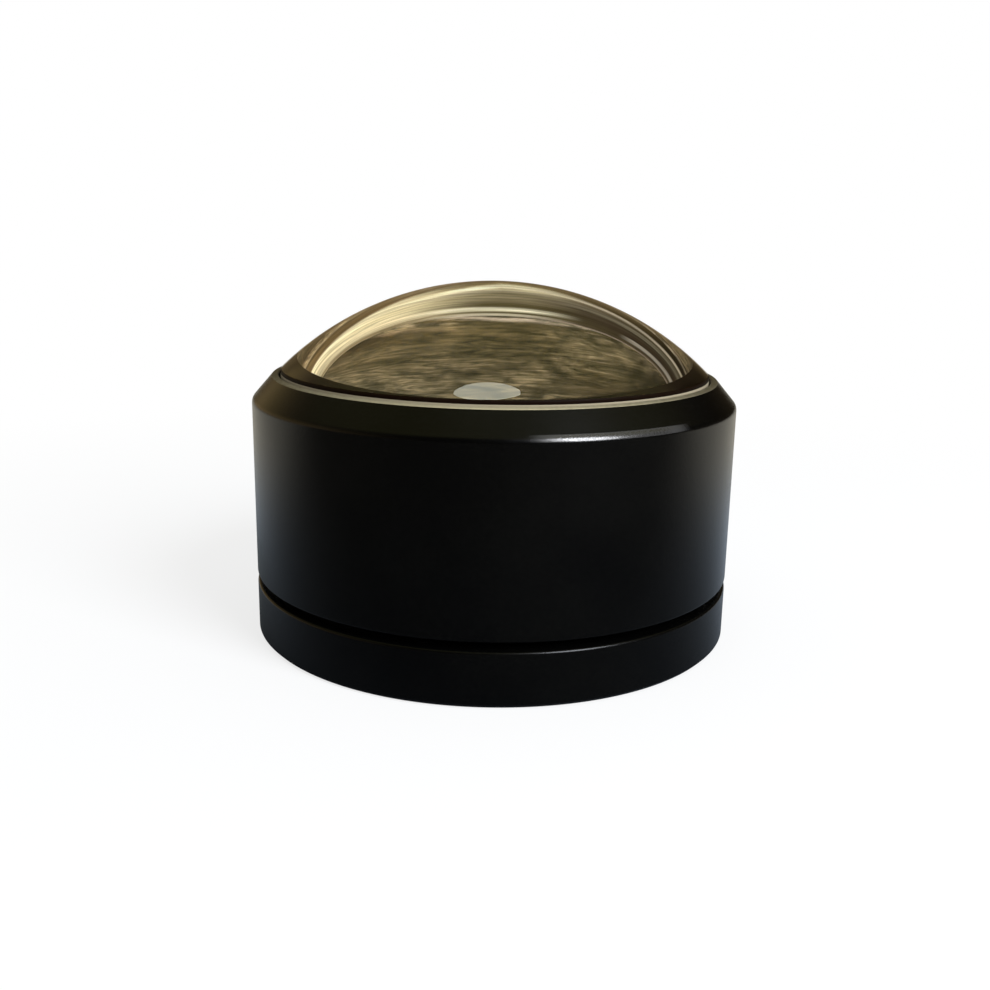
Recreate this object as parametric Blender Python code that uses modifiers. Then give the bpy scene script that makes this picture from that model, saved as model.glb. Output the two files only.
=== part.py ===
"""Survey reflector: domed lens, turned barrel and base ring, with a keyed mirror carriage inside.

Turning the barrel on its base turns the rear lens cell, whose inner thread moves the mirror carriage
along three guide pins. +Z is the optical axis, and the origin is the centre of the base's datum face.
"""

import math

import bmesh
import bpy
from mathutils import Matrix, Vector

mm = 0.001

# Overall
body_radius = 35.0 * mm
base_height = 7.5 * mm
groove_gap = 1.17 * mm
barrel_height = 28.73 * mm
barrel_wall = 3.5 * mm

# Clearances
seat = 0.3 * mm  # between pieces that sit on or in one another
thread_gap = 0.3 * mm  # radial, where a screwed ring meets its bore
helicoid_gap = 0.4 * mm  # radial, between the focusing threads
running_gap = 0.3 * mm  # radial, between the barrel's flange and the neck
flat_allowance = 0.1 * mm  # added where the flats of two round shapes face each other
overrun = 1.0 * mm  # how far a cutter passes the faces that it opens

# Motion
focus_turn = math.radians(140)  # the barrel turns this far each way
focus_lead = 1.0 * mm  # carriage travel for one whole turn
focus_travel = focus_lead * focus_turn / math.tau  # each way
travel_clearance = 0.45 * mm  # left free past the ends of the travel

# Barrel
shoulder_run = 2.9 * mm
shoulder_drop = 3.5 * mm
shoulder_round = 1.2 * mm
lip_round = 0.35 * mm
lip_fall = 0.15 * mm  # from the lip's inner edge to its outer one
edge_round = 0.4 * mm
flange_width = 2.7 * mm
flange_thickness = 2.2 * mm
ledge_width = 5.5 * mm
ledge_thickness = 1.5 * mm

# Front lens
rim_width = 4.1 * mm  # from the barrel's outside to the edge of the glass
lens_seat_depth = 1.4 * mm  # crest of the lip down to the underside of the glass's flange
lens_edge = 1.9 * mm
lens_bevel_width = 0.35 * mm
lens_bevel_height = 0.4 * mm
dome_radius = 44.4 * mm
lens_body_height = 11.0 * mm  # from the flange down to the coated base
lens_base_radius = 18.65 * mm
lens_foot_bevel_width = 2.05 * mm  # the wide bevel between the base and the cone
lens_foot_bevel_height = 0.85 * mm
gasket_thickness = 0.5 * mm
gasket_width = 4.6 * mm

# Base ring and base plate
datum_chamfer = 0.5 * mm
plate_recess = 0.5 * mm  # the plate stays clear of the surface the ring rests on
plate_thickness = 4.0 * mm
plate_margin = 4.7 * mm  # the base ring's wall around the plate
neck_wall = 4.0 * mm
retainer_thickness = 1.9 * mm
retainer_overlap = 2.2 * mm
neck_step = 1.5 * mm  # the neck's thread is this much smaller than its journal
seal_section = 1.4 * mm

# Tripod socket, 5/8"-11 UNC
socket_radius = 6.8 * mm
socket_wall = 2.6 * mm
socket_flange_width = 1.5 * mm
socket_flange_thickness = 1.5 * mm
socket_height = 6.5 * mm
socket_web = 0.8 * mm
socket_chamfer = 0.6 * mm

# Screws and pins
plate_screws = 4
screw_radius = 1.3 * mm
screw_head_radius = 2.8 * mm
screw_length = 7.4 * mm
screw_key = 2.0 * mm  # across the hexagon's corners
screw_key_depth = 1.0 * mm
guide_pins = 3
guide_pin_radius = 1.0 * mm
guide_inner_wall = 1.1 * mm  # of the mirror cell, between its pocket and a guide hole
guide_outer_wall = 0.8 * mm
guide_bush_wall = 0.4 * mm
stop_pin_radius = 1.2 * mm
pin_seat_depth = 3.0 * mm

# Mirror carriage
mirror_radius = 12.0 * mm
mirror_curve = 24.0 * mm
mirror_middle = 1.4 * mm
cell_floor = 0.8 * mm
cell_floor_width = 3.3 * mm
cushion_thickness = 0.5 * mm
cushion_width = 2.3 * mm
mirror_ring_height = 1.6 * mm
mirror_ring_width = 1.6 * mm

# Rear lens and its cell
rear_lens_radius = 9.5 * mm
rear_lens_edge = 1.2 * mm
crown_gap = 0.7 * mm  # from the rear lens's crown to the base of the front lens
lens_ledge_width = 1.4 * mm
lens_ledge = 1.2 * mm
rear_ring_height = 2.4 * mm
rear_ring_width = 2.3 * mm
cell_flange = 3.9 * mm
hub_wall = 1.4 * mm
skirt_wall = 2.4 * mm
stop_lug_height = 3.0 * mm
stop_lug_width = 1.1 * mm  # from the skirt's bore in to the lug's flat face
cell_ring_height = 1.6 * mm
cell_ring_width = 5.2 * mm
spacer_wall = 1.9 * mm
baffle_pitch = 2.4 * mm
baffle_depth = 0.6 * mm

# Wave spring
spring_wire = 0.4 * mm
spring_width = 2.0 * mm
spring_play = 0.7 * mm  # radial, around the thread bush
spring_lobes = 4

# Spanner slots
slot_width = 1.8 * mm
slot_depth = 0.8 * mm

# How finely round shapes are divided
outer_segments = 56
inner_segments = 36
core_segments = 28
pin_segments = 14
spring_segments = 48
seal_sides = 6
dome_steps = 10
rear_lens_steps = 8
mirror_steps = 6

# Radii that follow
bore_radius = body_radius - barrel_wall
flange_bore = bore_radius - flange_width
neck_radius = flange_bore - running_gap
neck_bore = neck_radius - neck_wall
neck_thread = neck_radius - neck_step
front_lens_radius = body_radius - rim_width
ledge_bore = bore_radius - ledge_width
lens_body_radius = ledge_bore - seat
plate_pocket = body_radius - plate_margin
socket_outer = socket_radius + socket_wall
socket_flange = socket_outer + socket_flange_width
mirror_pocket = mirror_radius + seat
spring_bore = socket_flange + spring_play
spring_radius = spring_bore + spring_width
guide_bush_bore = guide_pin_radius + seat
guide_bush_radius = guide_bush_bore + guide_bush_wall
guide_hole = guide_bush_radius + seat
guide_circle = max(
    mirror_pocket + guide_inner_wall + guide_hole, spring_radius + seat + guide_pin_radius
)
mirror_cell_radius = guide_circle + guide_hole + guide_outer_wall
skirt_bore = mirror_cell_radius + helicoid_gap
skirt_radius = skirt_bore + skirt_wall
rear_pocket = rear_lens_radius + seat
rear_thread = rear_pocket + rear_ring_width
fitted_radius = bore_radius - thread_gap
plate_screw_circle = (neck_bore + neck_radius) / 2
stop_pin_circle = (skirt_bore + skirt_radius) / 2

# Heights that follow, from the datum face up to the lip
plate_top = plate_recess + plate_thickness
pocket_top = plate_top + seat
barrel_bottom = base_height + groove_gap
flange_top = barrel_bottom + flange_thickness
glide_thickness = groove_gap - 2 * seat
retainer_bottom = flange_top + glide_thickness + 2 * seat
neck_top = retainer_bottom + retainer_thickness
socket_top = plate_recess + socket_height
mirror_cell_bottom = socket_top + focus_travel + travel_clearance
mirror_bottom = mirror_cell_bottom + cell_floor + cushion_thickness + 2 * seat
mirror_sag = mirror_curve - math.sqrt(mirror_curve**2 - mirror_radius**2)
mirror_ring_bottom = mirror_bottom + mirror_middle + mirror_sag + seat
mirror_cell_top = mirror_ring_bottom + mirror_ring_height
rear_cell_bottom = mirror_cell_top + focus_travel + travel_clearance
rear_lens_flat = rear_cell_bottom + lens_ledge + seat
cell_flange_top = rear_cell_bottom + cell_flange
lip_top = barrel_bottom + barrel_height
front_lens_seat = lip_top - lens_seat_depth
front_lens_base = front_lens_seat - lens_body_height
ledge_top = front_lens_seat - gasket_thickness - 2 * seat
ledge_bottom = ledge_top - ledge_thickness

# The rear lens fills the height between its cell and the front lens, and its curve follows from that
rear_lens_height = front_lens_base - crown_gap - rear_lens_flat
rear_lens_sag = rear_lens_height - rear_lens_edge
rear_lens_curve = (rear_lens_radius**2 + rear_lens_sag**2) / (2 * rear_lens_sag)

finishes = {  # colour, metallic, roughness, transmission
    "black_anodised": ((0.012, 0.012, 0.014), 0.0, 0.38, 0.0),
    "matt_black": ((0.006, 0.006, 0.006), 0.0, 0.75, 0.0),
    "optical_glass": ((0.86, 0.78, 0.62), 0.0, 0.02, 0.9),
    "copper_coated": ((0.85, 0.48, 0.30), 1.0, 0.08, 0.0),
    "brass": ((0.78, 0.60, 0.26), 1.0, 0.28, 0.0),
    "bronze": ((0.62, 0.42, 0.22), 1.0, 0.40, 0.0),
    "steel": ((0.62, 0.62, 0.64), 1.0, 0.25, 0.0),
    "black_oxide": ((0.03, 0.03, 0.03), 1.0, 0.45, 0.0),
    "filled_ptfe": ((0.02, 0.02, 0.022), 0.0, 0.50, 0.0),
    "nitrile": ((0.015, 0.015, 0.015), 0.0, 0.65, 0.0),
}


def clear_scene():
    for obj in list(bpy.data.objects):
        bpy.data.objects.remove(obj)


def make_collection(name):
    collection = bpy.data.collections.new(name)
    bpy.context.scene.collection.children.link(collection)
    return collection


def material_for(name, finish):
    colour, metallic, roughness, transmission = finishes[finish]
    material = bpy.data.materials.new(f"{name}_{finish}")
    material.use_nodes = True
    shader = material.node_tree.nodes["Principled BSDF"]
    shader.inputs["Base Color"].default_value = (*colour, 1.0)
    shader.inputs["Metallic"].default_value = metallic
    shader.inputs["Roughness"].default_value = roughness
    shader.inputs["Transmission Weight"].default_value = transmission
    return material


def corner_arc(before, corner, after, radius, steps=3):
    """Points of the arc that rounds a corner of an outline."""
    at = Vector(corner)
    towards = (Vector(before) - at).normalized()
    onwards = (Vector(after) - at).normalized()
    half = towards.angle(onwards) / 2
    reach = radius / math.tan(half)
    middle = at + (towards + onwards).normalized() * (radius / math.sin(half))
    start = at + towards * reach - middle
    turn = start.angle_signed(at + onwards * reach - middle)
    return [tuple(middle + Matrix.Rotation(-turn * i / steps, 2) @ start) for i in range(steps + 1)]


def rounded(corners, closed):
    """An outline in (radius, height), where a third number rounds that corner."""
    points = []
    for i, corner in enumerate(corners):
        if len(corner) < 3:
            points.append(corner)
            continue
        before = corners[i - 1][:2]
        after = corners[(i + 1) % len(corners)][:2]
        points += corner_arc(before, corner[:2], after, corner[2])
    return points + points[:1] if closed else points


def sphere_arc(curve, from_radius, to_radius, apex, steps):
    """Points along a spherical face with its apex on the axis; a negative curve is hollow."""
    points = []
    for i in range(steps + 1):
        radius = from_radius + (to_radius - from_radius) * i / steps
        sag = abs(curve) - math.sqrt(curve**2 - radius**2)
        points.append((radius, apex - math.copysign(sag, curve)))
    return points


def turned(name, outline, at=0.0, finish="black_anodised", segments=inner_segments, closed=True, body=None):
    """A turned piece: its outline runs down the outer side, then back up inside or along the axis."""
    points = rounded(outline, closed)
    mesh = bpy.data.meshes.new(name)
    last = len(points) - 1
    edges = [(i, i + 1) for i in range(last)]
    if closed:
        points = points[:-1]
        edges[-1] = (last - 1, 0)
    mesh.from_pydata([(radius, 0.0, height) for radius, height in points], edges, [])
    obj = bpy.data.objects.new(name, mesh)
    screw = obj.modifiers.new("turn", "SCREW")
    screw.axis = "Z"
    screw.steps = screw.render_steps = segments
    screw.use_merge_vertices = True
    screw.merge_threshold = 0.00001
    return add_piece(obj, at, finish, body)


def add_piece(obj, at, finish, body):
    parts.objects.link(obj)
    obj.location.z = at
    obj.data.materials.append(material_for(obj.name, finish))
    if body:
        obj.location.z -= body.location.z
        obj.parent = body
    return obj


def ring(name, outer, inner, height, at, finish, segments=inner_segments, body=None):
    outline = [(outer, height), (outer, 0), (inner, 0), (inner, height)]
    return turned(name, outline, at, finish, segments, body=body)


def cylinder_mesh(name, low_radius, high_radius, height, segments):
    """A plain round bar or cone standing on its own origin."""
    mesh = bpy.data.meshes.new(name)
    bar = bmesh.new()
    bmesh.ops.create_cone(
        bar, cap_ends=True, segments=segments, radius1=low_radius, radius2=high_radius, depth=height
    )
    bmesh.ops.translate(bar, verts=bar.verts, vec=(0, 0, height / 2))
    bar.to_mesh(mesh)
    bar.free()
    return mesh


def cutter(name, mesh, location=(0, 0, 0)):
    obj = bpy.data.objects.new(name, mesh)
    cutters.objects.link(obj)
    obj.location = location
    obj.hide_render = True
    obj.display_type = "WIRE"
    return obj


def box_cutter(name, size, location):
    mesh = bpy.data.meshes.new(name)
    box = bmesh.new()
    bmesh.ops.create_cube(box, size=1.0, matrix=Matrix.Diagonal((*size, 1.0)))
    box.to_mesh(mesh)
    box.free()
    return cutter(name, mesh, location)


def cut(obj, tool, operation="DIFFERENCE"):
    boolean = obj.modifiers.new(tool.name, "BOOLEAN")
    boolean.operation = operation
    boolean.solver = "EXACT"
    boolean.object = tool


def around(count, circle, start=0.0):
    """(x, y) places spaced evenly on a circle."""
    angles = [start + math.tau * i / count for i in range(count)]
    return [(circle * math.cos(angle), circle * math.sin(angle)) for angle in angles]


def spanner_slots(obj, across, face):
    """A pair of slots across a ring's face, given as a height in the world."""
    size = (2 * across + 2 * overrun, slot_width, 2 * slot_depth)
    cut(obj, box_cutter(f"{obj.name}_slots", size, (0, 0, face)))


def make_base_ring():
    neck = base_height
    groove_low = (barrel_bottom + flange_top) / 2 - seal_section / 2 - seat
    groove_high = groove_low + seal_section + 2 * seat
    groove_floor = neck_radius - seal_section - 2 * seat
    outline = [
        (neck_thread, neck_top),
        (neck_thread, retainer_bottom - seat),
        (neck_radius, retainer_bottom - seat),
        (neck_radius, groove_high),
        (groove_floor, groove_high),
        (groove_floor, groove_low),
        (neck_radius, groove_low),
        (neck_radius, neck),
        (body_radius, neck, edge_round),
        (body_radius, datum_chamfer),
        (body_radius - datum_chamfer, 0),
        (plate_pocket, 0),
        (plate_pocket, pocket_top),
        (neck_bore, pocket_top),
        (neck_bore, neck_top),
    ]
    obj = turned("base_ring", outline, segments=outer_segments)
    hole_depth = screw_length + plate_recess + seat - pocket_top
    for i, (x, y) in enumerate(around(plate_screws, plate_screw_circle, math.tau / 8)):
        hole = cylinder_mesh(
            "tapped_hole", screw_radius + seat, screw_radius + seat, hole_depth + overrun, pin_segments
        )
        cut(obj, cutter(f"tapped_hole_{i + 1}", hole, (x, y, pocket_top - overrun)))
    seal_middle = (groove_low + groove_high) / 2
    centre = groove_floor + seat + seal_section / 2
    turns = [math.tau * i / seal_sides for i in range(seal_sides)]
    section = [
        (centre + seal_section / 2 * math.cos(turn), -seal_section / 2 * math.sin(turn))
        for turn in turns
    ]
    turned("dust_seal", section, seal_middle, "nitrile")


def make_base_plate():
    radius = plate_pocket - seat
    outline = [
        (radius, plate_thickness),
        (radius, 0),
        (socket_flange + seat, 0),
        (socket_flange + seat, socket_flange_thickness + seat),
        (socket_outer + seat, socket_flange_thickness + seat),
        (socket_outer + seat, plate_thickness),
    ]
    obj = turned("base_plate", outline, plate_recess)
    head_depth = screw_head_radius - screw_radius
    for i, (x, y) in enumerate(around(plate_screws, plate_screw_circle, math.tau / 8)):
        low = screw_head_radius + seat + overrun
        cone = cylinder_mesh("countersink", low, screw_radius + seat, head_depth + overrun, pin_segments)
        cut(obj, cutter(f"countersink_{i + 1}", cone, (x, y, plate_recess - overrun)))
        bore = screw_radius + seat
        hole = cylinder_mesh("screw_hole", bore, bore, plate_thickness + 2 * overrun, pin_segments)
        cut(obj, cutter(f"screw_hole_{i + 1}", hole, (x, y, plate_recess - overrun)))
        screw = countersunk_screw(f"plate_screw_{i + 1}", head_depth)
        screw.location.x, screw.location.y = x, y
    for i, (x, y) in enumerate(around(guide_pins, guide_circle)):
        pin_hole(obj, f"guide_pin_hole_{i + 1}", guide_pin_radius, x, y)
    pin_hole(obj, "stop_pin_hole", stop_pin_radius, -stop_pin_circle, 0)


def countersunk_screw(name, head_depth):
    """A countersunk screw with its head down, its face level with the plate's underside."""
    outline = [
        (0, screw_length),
        (screw_radius, screw_length),
        (screw_radius, head_depth),
        (screw_head_radius, 0),
        (0, 0),
    ]
    obj = turned(name, outline, plate_recess, "black_oxide", pin_segments, closed=False)
    key = cutter(f"{name}_key", cylinder_mesh("key", screw_key / 2, screw_key / 2, 2 * screw_key_depth, 6))
    key.parent = obj
    key.location.z = -screw_key_depth
    cut(obj, key)
    return obj


def pin_hole(plate, name, radius, x, y):
    bore = radius + seat
    mesh = cylinder_mesh(name, bore, bore, pin_seat_depth + overrun, pin_segments)
    cut(plate, cutter(name, mesh, (x, y, plate_top - pin_seat_depth)))


def pin(name, radius, top, x, y, finish):
    """A ground pin seated in the base plate, with a chamfered end."""
    bottom = plate_top - pin_seat_depth + seat
    length = top - bottom
    end = radius / 3
    outline = [(0, length), (radius - end, length), (radius, length - end), (radius, 0), (0, 0)]
    obj = turned(name, outline, bottom, finish, pin_segments, closed=False)
    obj.location.x, obj.location.y = x, y


def make_pins():
    top = mirror_cell_top - travel_clearance
    for i, (x, y) in enumerate(around(guide_pins, guide_circle)):
        pin(f"guide_pin_{i + 1}", guide_pin_radius, top, x, y, "steel")
    pin("stop_pin", stop_pin_radius, skirt_bottom() - 2 * seat, -stop_pin_circle, 0, "steel")


def skirt_bottom():
    """The lens cell's skirt ends here, level with the carriage's lower face at rest."""
    return mirror_cell_bottom + seat


def make_socket():
    outline = [
        (0, socket_height),
        (socket_outer, socket_height),
        (socket_outer, socket_flange_thickness),
        (socket_flange, socket_flange_thickness),
        (socket_flange, 0),
        (socket_radius + socket_chamfer, 0),
        (socket_radius, socket_chamfer),
        (socket_radius, socket_height - socket_web),
        (0, socket_height - socket_web),
    ]
    turned("thread_bush", outline, plate_recess, "brass", core_segments, closed=False)


def make_wave_spring():
    height = mirror_cell_bottom - focus_travel - seat - plate_top - seat
    wave = (height - spring_wire) / 2
    obj = ring(
        "wave_spring", spring_radius, spring_bore, spring_wire, plate_top + seat, "steel", spring_segments
    )
    settle(obj)
    for vertex in obj.data.vertices:
        angle = math.atan2(vertex.co.y, vertex.co.x)
        vertex.co.z += wave * (1 - math.cos(spring_lobes * angle))


def make_bearing_rings():
    inner = neck_radius + seat
    outer = bore_radius + seat
    ring("lower_glide_ring", outer, inner, glide_thickness, base_height + seat, "filled_ptfe")
    ring(
        "upper_glide_ring", fitted_radius, inner, glide_thickness, flange_top + seat, "filled_ptfe"
    )
    retainer = ring(
        "barrel_retainer",
        flange_bore + retainer_overlap,
        neck_thread + thread_gap + flat_allowance,
        retainer_thickness,
        retainer_bottom,
        "black_anodised",
    )
    spanner_slots(retainer, bore_radius, neck_top)


def make_barrel(body):
    top = barrel_height
    counterbore = front_lens_radius + seat
    lip_outer = body_radius - shoulder_run
    outline = [
        (lip_outer, top - lip_fall, lip_round),
        (body_radius, top - shoulder_drop, shoulder_round),
        (body_radius, 0, edge_round),
        (flange_bore, 0),
        (flange_bore, flange_thickness),
        (bore_radius, flange_thickness),
        (bore_radius, ledge_bottom - barrel_bottom),
        (ledge_bore, ledge_bottom - barrel_bottom),
        (ledge_bore, ledge_top - barrel_bottom),
        (counterbore, ledge_top - barrel_bottom),
        (counterbore, top - lip_round / 2),
        (counterbore + lip_round / 2, top),
    ]
    turned("barrel", outline, barrel_bottom, segments=outer_segments, body=body)


def make_front_lens(body):
    """A dome on a flange, with a cone below that passes through the ledge to a bevelled base."""
    bevel_radius = front_lens_radius - lens_bevel_width
    bevel_top = lens_edge + lens_bevel_height
    dome_sag = dome_radius - math.sqrt(dome_radius**2 - bevel_radius**2)
    dome = sphere_arc(dome_radius, 0, bevel_radius, bevel_top + dome_sag, dome_steps)
    base = -lens_body_height
    outline = [
        *dome,
        (front_lens_radius, lens_edge),
        (front_lens_radius, 0),
        (lens_body_radius, 0),
        (lens_base_radius + lens_foot_bevel_width, base + lens_foot_bevel_height),
        (lens_base_radius, base),
        (0, base),
    ]
    turned(
        "front_lens", outline, front_lens_seat, "optical_glass", outer_segments, closed=False, body=body
    )
    ring(
        "lens_gasket",
        front_lens_radius,
        front_lens_radius - gasket_width,
        gasket_thickness,
        ledge_top + seat,
        "nitrile",
        body=body,
    )


def make_spacer(body):
    """The tube that holds the rear lens cell down from the ledge, ridged inside against glare."""
    bottom = cell_flange_top + seat
    height = ledge_bottom - seat - bottom
    inner = fitted_radius - spacer_wall
    ridges = int(height / baffle_pitch)
    outline = [(fitted_radius, height), (fitted_radius, 0), (inner, 0)]
    for i in range(ridges):
        foot = (height - ridges * baffle_pitch) / 2 + i * baffle_pitch
        outline += [(inner, foot), (inner + baffle_depth, foot + baffle_pitch / 2)]
    outline += [(inner, (height + ridges * baffle_pitch) / 2), (inner, height)]
    turned("spacer_tube", outline, bottom, "matt_black", body=body)


def make_rear_cell(body):
    """The rear lens's cell, whose skirt carries the focusing thread and the stop lug."""
    bottom = rear_cell_bottom
    ring_seat = rear_lens_flat + rear_lens_edge - bottom + seat
    hub_top = ring_seat + seat + rear_ring_height
    skirt = skirt_bottom() - bottom
    lug = skirt - stop_lug_height
    outline = [
        (rear_thread + hub_wall, hub_top),
        (rear_thread + hub_wall, cell_flange),
        (fitted_radius, cell_flange),
        (fitted_radius, 0),
        (skirt_radius, 0),
        (skirt_radius, lug),
        (skirt_bore, lug),
        (skirt_bore, 0),
        (rear_pocket - seat - lens_ledge_width, 0),
        (rear_pocket - seat - lens_ledge_width, lens_ledge),
        (rear_pocket, lens_ledge),
        (rear_pocket, ring_seat),
        (rear_thread, ring_seat),
        (rear_thread, hub_top),
    ]
    cell = turned("rear_lens_cell", outline, bottom, "matt_black", body=body)
    # Everything below the skirt is cut away but the lug, which stays on the +X side
    lug_face = skirt_bore - stop_lug_width
    reach = lug_face + skirt_radius + overrun
    size = (reach, 2 * skirt_radius + 2 * overrun, stop_lug_height + overrun)
    place = (lug_face - reach / 2, 0, skirt_bottom() - size[2] / 2)
    cut(cell, box_cutter("lug_relief", size, place))

    cell_ring = ring(
        "cell_retainer",
        fitted_radius,
        fitted_radius - cell_ring_width,
        cell_ring_height,
        bottom - seat - cell_ring_height,
        "black_anodised",
        body=body,
    )
    spanner_slots(cell_ring, bore_radius, bottom - seat - cell_ring_height)


def make_rear_lens(body):
    dome = sphere_arc(rear_lens_curve, 0, rear_lens_radius, rear_lens_height, rear_lens_steps)
    outline = [*dome, (rear_lens_radius, 0), (0, 0)]
    turned("rear_lens", outline, rear_lens_flat, "optical_glass", closed=False, body=body)

    # The ring's bore is a cone that lies along the lens's flank
    bottom = rear_lens_flat + rear_lens_edge + 2 * seat
    top = bottom + rear_ring_height
    centre = rear_lens_flat + rear_lens_height - rear_lens_curve
    clear_curve = rear_lens_curve + seat + flat_allowance
    low, high = (math.sqrt(clear_curve**2 - (height - centre) ** 2) for height in (bottom, top))
    outer = rear_thread - thread_gap
    outline = [(outer, rear_ring_height), (outer, 0), (low, 0), (high, rear_ring_height)]
    lens_ring = turned("rear_lens_retainer", outline, bottom, "matt_black", body=body)
    spanner_slots(lens_ring, rear_thread, top)


def make_mirror_carriage(body):
    height = mirror_cell_top - mirror_cell_bottom
    outline = [
        (mirror_cell_radius, height),
        (mirror_cell_radius, 0),
        (mirror_pocket - cell_floor_width, 0),
        (mirror_pocket - cell_floor_width, cell_floor),
        (mirror_pocket, cell_floor),
        (mirror_pocket, height),
    ]
    cell = turned("mirror_cell", outline, mirror_cell_bottom, "matt_black", core_segments, body=body)
    for i, (x, y) in enumerate(around(guide_pins, guide_circle)):
        hole = cylinder_mesh("bush_hole", guide_hole, guide_hole, height + 2 * overrun, pin_segments)
        cut(cell, cutter(f"bush_hole_{i + 1}", hole, (x, y, mirror_cell_bottom - overrun)))
        bush = ring(
            f"guide_bush_{i + 1}",
            guide_bush_radius,
            guide_bush_bore,
            height,
            mirror_cell_bottom,
            "bronze",
            pin_segments,
            body=body,
        )
        bush.location.x, bush.location.y = x, y

    ring(
        "mirror_cushion",
        mirror_radius,
        mirror_radius - cushion_width,
        cushion_thickness,
        mirror_cell_bottom + cell_floor + seat,
        "nitrile",
        core_segments,
        body=body,
    )
    face = sphere_arc(-mirror_curve, 0, mirror_radius, mirror_middle, mirror_steps)
    outline = [*face, (mirror_radius, 0), (0, 0)]
    turned("mirror", outline, mirror_bottom, "copper_coated", core_segments, closed=False, body=body)
    outer = mirror_pocket - thread_gap
    mirror_ring = ring(
        "mirror_retainer",
        outer,
        outer - mirror_ring_width,
        mirror_ring_height,
        mirror_ring_bottom,
        "matt_black",
        core_segments,
        body=body,
    )
    spanner_slots(mirror_ring, mirror_pocket, mirror_cell_top)


def settle(obj):
    """Makes the evaluated shape the object's own mesh."""
    graph = bpy.context.evaluated_depsgraph_get()
    mesh = bpy.data.meshes.new_from_object(obj.evaluated_get(graph))
    obj.modifiers.clear()
    obj.data = mesh


def shade_parts():
    for obj in parts.objects:
        if obj.type == "MESH":
            settle(obj)
            obj.data.shade_smooth()
            obj.data.set_sharp_from_angle(angle=math.radians(32))


def make_body(name, height):
    """An empty on the axis that carries every piece that moves with it."""
    obj = bpy.data.objects.new(name, None)
    parts.objects.link(obj)
    obj.location.z = height
    obj.empty_display_size = body_radius / 4
    return obj


clear_scene()
parts = make_collection("survey_reflector")
cutters = make_collection("cutters")

turning = make_body("barrel_turning", barrel_bottom)
sliding = make_body("carriage_sliding", mirror_cell_bottom)

make_base_ring()
make_base_plate()
make_pins()
make_socket()
make_wave_spring()
make_bearing_rings()
make_barrel(turning)
make_front_lens(turning)
make_spacer(turning)
make_rear_cell(turning)
make_rear_lens(turning)
make_mirror_carriage(sliding)
shade_parts()
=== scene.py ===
import math
from functools import partial

import bmesh
import bpy
import numpy as np
from mathutils import Matrix, Vector


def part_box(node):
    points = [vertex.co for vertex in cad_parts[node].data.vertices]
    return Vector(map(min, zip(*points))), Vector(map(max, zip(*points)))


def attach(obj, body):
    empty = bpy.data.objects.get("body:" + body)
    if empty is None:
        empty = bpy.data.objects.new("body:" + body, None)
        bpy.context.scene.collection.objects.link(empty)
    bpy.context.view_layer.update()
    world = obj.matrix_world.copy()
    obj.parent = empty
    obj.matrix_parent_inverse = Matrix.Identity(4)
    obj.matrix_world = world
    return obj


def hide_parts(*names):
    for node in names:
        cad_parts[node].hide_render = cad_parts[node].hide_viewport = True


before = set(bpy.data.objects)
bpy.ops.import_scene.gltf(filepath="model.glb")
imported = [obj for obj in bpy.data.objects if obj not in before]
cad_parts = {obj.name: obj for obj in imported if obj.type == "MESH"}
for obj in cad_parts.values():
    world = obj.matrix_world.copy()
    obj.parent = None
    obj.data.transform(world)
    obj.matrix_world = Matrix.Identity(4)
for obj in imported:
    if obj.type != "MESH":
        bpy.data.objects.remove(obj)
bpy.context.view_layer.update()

mm = 0.001
noiseSpan = (0.4, 0.6)  # most of a noise's values lie between these
scene = bpy.context.scene

# Camera: 16 cm in front of the piece and 6 cm up, looking a quarter radian below level
cameraSettings = {
    "place": (0.00354, -0.16103, 0.05881),
    "tilt": 0.24386,  # radians below level
    "heading": 0.01989,
    "roll": 0.01804,
    "lens": 39.98,  # mm on a 36 mm sensor
}


def newObject(name, data):
    obj = bpy.data.objects.new(name, data)
    scene.collection.objects.link(obj)
    return obj


def makeCamera(settings):
    data = bpy.data.cameras.new("camera")
    data.sensor_width = 36.0
    data.lens = settings["lens"]
    data.clip_start = 0.001
    camera = newObject("camera", data)
    camera.matrix_world = (
        Matrix.Translation(settings["place"])
        @ Matrix.Rotation(settings["heading"], 4, "Z")
        @ Matrix.Rotation(math.pi / 2 - settings["tilt"], 4, "X")
        @ Matrix.Rotation(settings["roll"], 4, "Z")
    )
    scene.camera = camera


makeCamera(cameraSettings)
print("camera placed")


def linear(hexColour):
    # sRGB hex to linear RGBA
    parts = [int(hexColour[i : i + 2], 16) / 255 for i in (1, 3, 5)]
    return (*[c / 12.92 if c <= 0.04045 else ((c + 0.055) / 1.055) ** 2.4 for c in parts], 1.0)


def feed(node, inputs):
    # Inputs go by name, or by order in a list; each is a socket to link from or a plain value
    for socket, value in inputs.items() if isinstance(inputs, dict) else enumerate(inputs):
        if isinstance(value, bpy.types.NodeSocket):
            node.id_data.links.new(value, node.inputs[socket])
        else:
            node.inputs[socket].default_value = value


def addNode(tree, kind, inputs=(), operation=None, output=0, stops=(), **settings):
    # Adds a node with its settings and links, and gives one output; stops are a ramp's colours
    node = tree.nodes.new("ShaderNode" + kind)
    if operation:
        node.operation = operation
    for key, value in settings.items():
        setattr(node, key, value)
    if stops:
        ramp = node.color_ramp.elements
        ramp.remove(ramp[1])
        ramp[0].position, ramp[0].color = stops[0][0], linear(stops[0][1])
        for position, colour in stops[1:]:
            ramp.new(position).color = linear(colour)
    feed(node, inputs)
    return node.outputs[output] if node.outputs else node


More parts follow.
